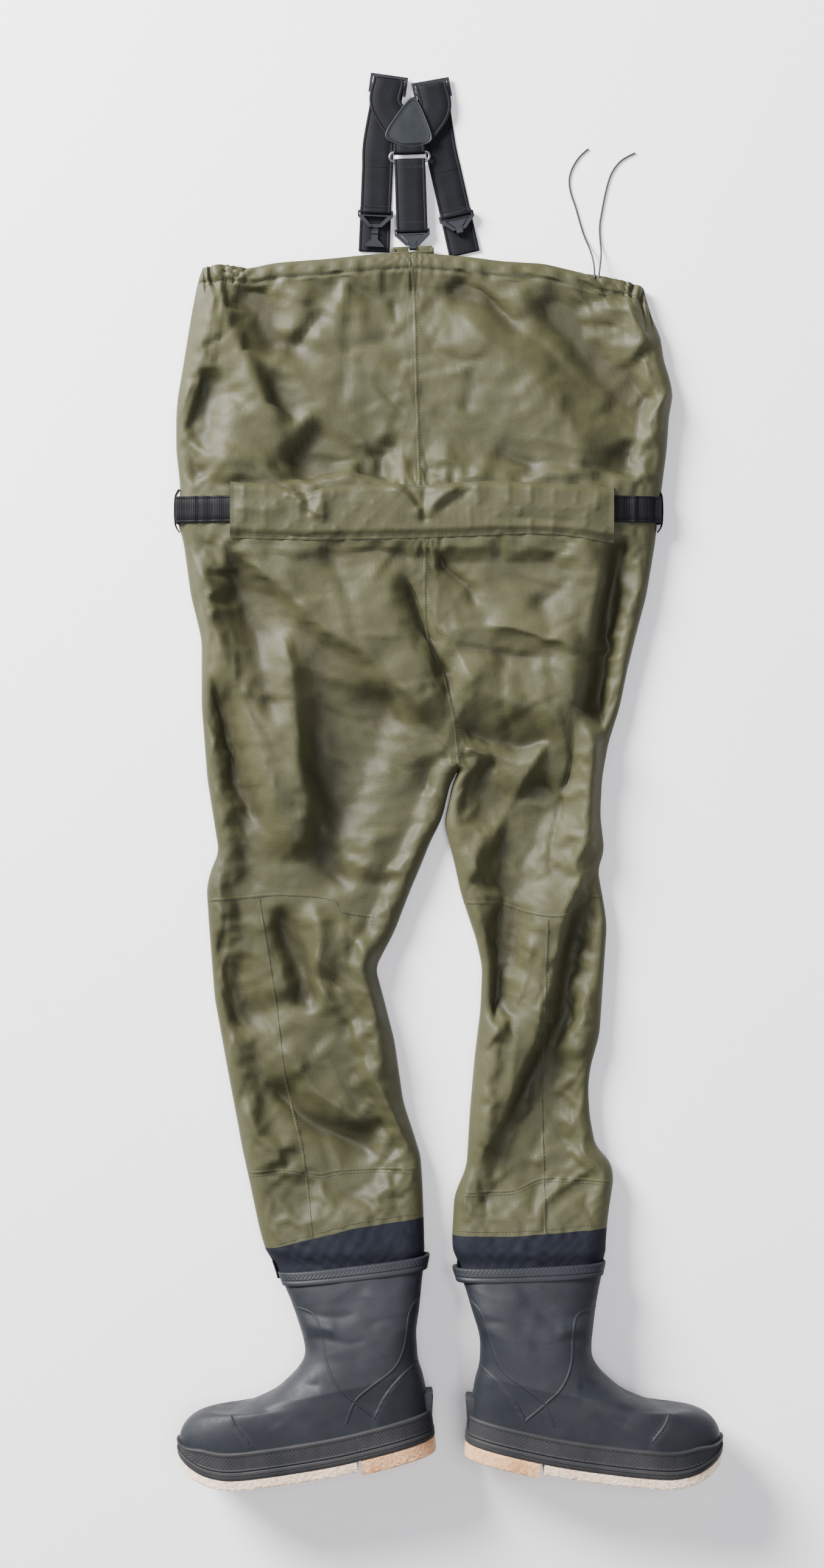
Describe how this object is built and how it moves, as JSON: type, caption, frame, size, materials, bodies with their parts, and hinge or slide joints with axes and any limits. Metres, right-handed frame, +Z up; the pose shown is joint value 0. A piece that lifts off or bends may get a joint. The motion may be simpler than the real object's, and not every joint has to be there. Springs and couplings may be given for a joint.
{
  "type": "chest waders",
  "caption": "Chest-high waterproof trousers with welted boots, felt soles, waist belt, drawcord hem and clip-on elastic suspenders, laid flat.",
  "frame": {"origin": "centre of the laid-out waders' footprint, on the floor they lie on", "axes": "+Z up; +Y from the boots to the suspenders; +X to the wearer's right, as they lie face down"},
  "size_m": [0.6596, 1.7067, 0.0996],
  "materials": {
    "coated_nylon": "coated woven nylon, soft sheen",
    "drawcord": "braided cord",
    "belt_webbing": "ribbed webbing",
    "buckle_plastic": "moulded, satin",
    "elastic_webbing": "woven elastic",
    "yoke_patch": "embossed patch",
    "ring_steel": "blackened wire",
    "ankle_neoprene": "smooth neoprene",
    "boot_rubber": "moulded rubber, satin",
    "insole_foam": "fabric-faced foam",
    "outsole_rubber": "moulded rubber",
    "sole_felt": "pressed felt",
    "heel_block": "pressed felt and rubber crumb"
  },
  "bodies": {
    "torso": {"front_panel": "coated_nylon", "back_panel_left": "coated_nylon", "back_panel_right": "coated_nylon", "chest_hem": "coated_nylon", "hidden_drawcord": "drawcord", "belt_tunnel": "coated_nylon", "belt_webbing": "belt_webbing", "buckle_socket": "buckle_plastic", "back_loop": "coated_nylon", "front_loops": "coated_nylon", "drawcord_end_left": "drawcord", "drawcord_end_right": "drawcord"},
    "buckle": {"buckle_tongue": "buckle_plastic"},
    "suspenders": {"yoke_patch": "yoke_patch", "left_shoulder_strap": "elastic_webbing", "right_shoulder_strap": "elastic_webbing", "yoke_loop_strap": "elastic_webbing", "yoke_ring": "ring_steel", "centre_strap": "elastic_webbing", "centre_clip_frame": "buckle_plastic"},
    "centre_clip": {"centre_clip_hook": "buckle_plastic"},
    "left_thigh": {"left_thigh_back": "coated_nylon", "left_thigh_front": "coated_nylon"},
    "left_shin": {"left_shin_back": "coated_nylon", "left_shin_front": "coated_nylon", "left_cuff_patch": "coated_nylon", "left_ankle_band": "ankle_neoprene"},
    "left_boot": {"left_boot_upper": "boot_rubber", "left_boot_binding": "boot_rubber", "left_toe_cap": "boot_rubber", "left_heel_counter": "boot_rubber", "left_foxing": "boot_rubber", "left_insole": "insole_foam", "left_outsole": "outsole_rubber", "left_felt_sole": "sole_felt", "left_felt_heel": "heel_block"},
    "left_ring": {"left_strap_ring": "buckle_plastic"},
    "left_front": {"left_front_strap": "elastic_webbing", "left_clip_frame": "buckle_plastic"},
    "left_clip": {"left_clip_hook": "buckle_plastic"},
    "right_thigh": {"right_thigh_back": "coated_nylon", "right_thigh_front": "coated_nylon"},
    "right_shin": {"right_shin_back": "coated_nylon", "right_shin_front": "coated_nylon", "right_cuff_patch": "coated_nylon", "right_ankle_band": "ankle_neoprene"},
    "right_boot": {"right_boot_upper": "boot_rubber", "right_boot_binding": "boot_rubber", "right_toe_cap": "boot_rubber", "right_heel_counter": "boot_rubber", "right_foxing": "boot_rubber", "right_insole": "insole_foam", "right_outsole": "outsole_rubber", "right_felt_sole": "sole_felt", "right_felt_heel": "heel_block"},
    "right_ring": {"right_strap_ring": "buckle_plastic"},
    "right_front": {"right_front_strap": "elastic_webbing", "right_clip_frame": "buckle_plastic"},
    "right_clip": {"right_clip_hook": "buckle_plastic"}
  },
  "joints": [
    {"name": "left_hip_fold", "type": "hinge", "parent": "torso", "child": "left_thigh", "pos_m": [-0.1458, -0.0127, 0.046], "axis": [-1, 0, 0], "range_deg": [0, 45]},
    {"name": "right_hip_fold", "type": "hinge", "parent": "torso", "child": "right_thigh", "pos_m": [0.1032, -0.0127, 0.046], "axis": [-1, 0, 0], "range_deg": [0, 45]},
    {"name": "left_knee_fold", "type": "hinge", "parent": "left_thigh", "child": "left_shin", "pos_m": [-0.1728, -0.1567, 0.045], "axis": [-1, 0, 0], "range_deg": [0, 120]},
    {"name": "right_knee_fold", "type": "hinge", "parent": "right_thigh", "child": "right_shin", "pos_m": [0.1092, -0.1567, 0.045], "axis": [-1, 0, 0], "range_deg": [0, 120]},
    {"name": "left_boot_fold", "type": "hinge", "parent": "left_shin", "child": "left_boot", "pos_m": [-0.1128, -0.59423, 0.0605], "axis": [-0.9933, -0.1159, 0], "range_deg": [0, 20]},
    {"name": "right_boot_fold", "type": "hinge", "parent": "right_shin", "child": "right_boot", "pos_m": [0.1002, -0.59549, 0.0605], "axis": [-0.9994, -0.036, 0], "range_deg": [0, 20]},
    {"name": "suspender_fold", "type": "hinge", "parent": "torso", "child": "suspenders", "pos_m": [-0.0408, 0.6393, 0.0078], "axis": [0.9995, 0.0332, 0], "range_deg": [0, 90]},
    {"name": "centre_clip_open", "type": "hinge", "parent": "suspenders", "child": "centre_clip", "pos_m": [-0.04068, 0.6358, 0.0078], "axis": [0.9995, 0.0332, 0], "range_deg": [0, 15]},
    {"name": "left_ring_tilt", "type": "hinge", "parent": "suspenders", "child": "left_ring", "pos_m": [-0.0708, 0.8363, 0.0047], "axis": [0.9903, -0.1392, 0], "range_deg": [0, 40]},
    {"name": "left_strap_fold", "type": "hinge", "parent": "suspenders", "child": "left_front", "pos_m": [-0.08371, 0.73872, 0.0019], "axis": [-0.9992, 0.0401, 0], "range_deg": [0, 60]},
    {"name": "left_clip_close", "type": "hinge", "parent": "left_front", "child": "left_clip", "pos_m": [-0.08694, 0.65828, 0.0078], "axis": [-0.9992, 0.0401, 0], "range_deg": [0, 175]},
    {"name": "right_ring_tilt", "type": "hinge", "parent": "suspenders", "child": "right_ring", "pos_m": [-0.0168, 0.8303, 0.0047], "axis": [0.9848, 0.1736, 0], "range_deg": [0, 40]},
    {"name": "right_strap_fold", "type": "hinge", "parent": "suspenders", "child": "right_front", "pos_m": [-0.00005, 0.73384, 0.0019], "axis": [-0.9759, -0.2181, 0], "range_deg": [0, 60]},
    {"name": "right_clip_open", "type": "hinge", "parent": "right_front", "child": "right_clip", "pos_m": [0.01751, 0.65528, 0.0078], "axis": [0.9759, 0.2181, 0], "range_deg": [0, 175]},
    {"name": "buckle_release", "type": "slide", "parent": "torso", "child": "buckle", "axis": [1, 0, 0], "range_m": [0, 0.022]}
  ]
}
